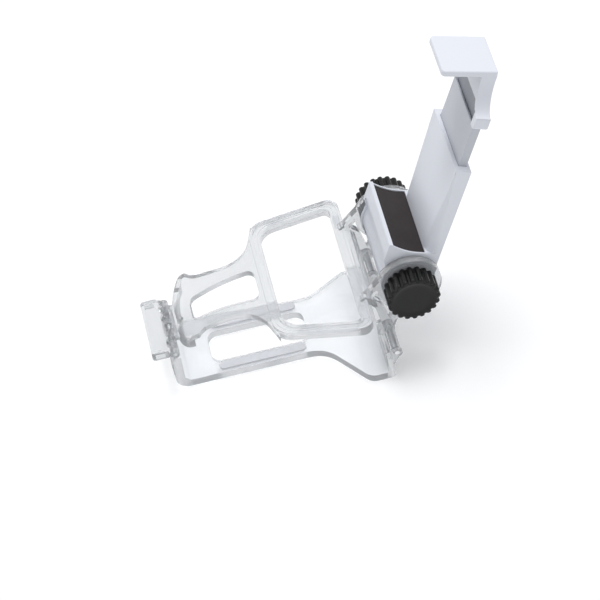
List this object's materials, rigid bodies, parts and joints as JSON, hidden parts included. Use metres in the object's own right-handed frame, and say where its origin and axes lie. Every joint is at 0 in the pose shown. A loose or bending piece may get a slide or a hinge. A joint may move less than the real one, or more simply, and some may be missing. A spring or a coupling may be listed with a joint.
{
  "type": "controller phone clip",
  "caption": "Clear clip that closes round the middle of a game controller and holds a phone above it in a tilting, telescoping clamp with ribbed side knobs.",
  "frame": {"origin": "midway between the two sticks of the controller that the clip sits on, on the controller's face", "axes": "+X to the player's right along the tilt axis, +Y away from the player towards the controller's far edge, +Z out of the controller's face towards the player's eyes"},
  "size_m": [0.0712, 0.1446, 0.1242],
  "materials": {
    "clear_plastic": "clear moulded plastic, polished",
    "soft_clear": "translucent soft pads",
    "grey_plastic": "light cool grey, satin",
    "slide_plastic": "mid grey, satin",
    "knob_plastic": "near-black, matt",
    "dark_rubber": "dark warm grey rubber",
    "steel": "bright steel",
    "brass": "turned brass"
  },
  "bodies": {
    "frame": {"front_frame": "clear_plastic", "frame_pads": "soft_clear"},
    "rear": {"rear_plate": "clear_plastic", "rear_pads": "soft_clear", "hinge_pin_left": "steel", "hinge_pin_right": "steel", "latch_pin": "steel", "latch_spring": "steel"},
    "latch": {"latch_tab": "clear_plastic"},
    "arm": {"clamp_body": "grey_plastic", "lower_pad": "dark_rubber", "back_cover": "grey_plastic", "cover_screws": "steel", "friction_spring": "steel", "insert_left": "brass", "insert_right": "brass", "friction_ring_left": "soft_clear", "friction_ring_right": "soft_clear"},
    "tongue": {"tongue": "grey_plastic"},
    "jaw": {"upper_jaw": "grey_plastic", "upper_pad": "dark_rubber", "inner_slide": "slide_plastic", "jaw_screws": "steel"},
    "left_knob": {"knob_left": "knob_plastic", "stud_left": "steel", "washer_left": "steel"},
    "right_knob": {"knob_right": "knob_plastic", "stud_right": "steel", "washer_right": "steel"}
  },
  "joints": [
    {"name": "rear_plate_swing", "type": "hinge", "parent": "frame", "child": "rear", "pos_m": [0, 0.0579, -0.0182], "axis": [1, 0, 0], "range_deg": [0, 100]},
    {"name": "latch_release", "type": "hinge", "parent": "rear", "child": "latch", "pos_m": [0, -0.0235, -0.0126], "axis": [1, 0, 0], "range_deg": [0, 25], "stiffness_Nm_per_rad": 0.01, "springref_deg": -17.19},
    {"name": "arm_tilt", "type": "hinge", "parent": "frame", "child": "arm", "pos_m": [0, 0.0678, 0.0023], "axis": [1, 0, 0], "range_deg": [-65, 45]},
    {"name": "tongue_slide", "type": "slide", "parent": "arm", "child": "tongue", "axis": [0, 0.3795, 0.9252], "range_m": [-0.015, 0.012]},
    {"name": "jaw_slide", "type": "slide", "parent": "tongue", "child": "jaw", "axis": [0, 0.3795, 0.9252], "range_m": [-0.0045, 0.013]},
    {"name": "left_knob_turn", "type": "hinge", "parent": "arm", "child": "left_knob", "pos_m": [0, 0.0678, 0.0023], "axis": [1, 0, 0], "continuous": true},
    {"name": "right_knob_turn", "type": "hinge", "parent": "arm", "child": "right_knob", "pos_m": [0, 0.0678, 0.0023], "axis": [1, 0, 0], "continuous": true}
  ]
}
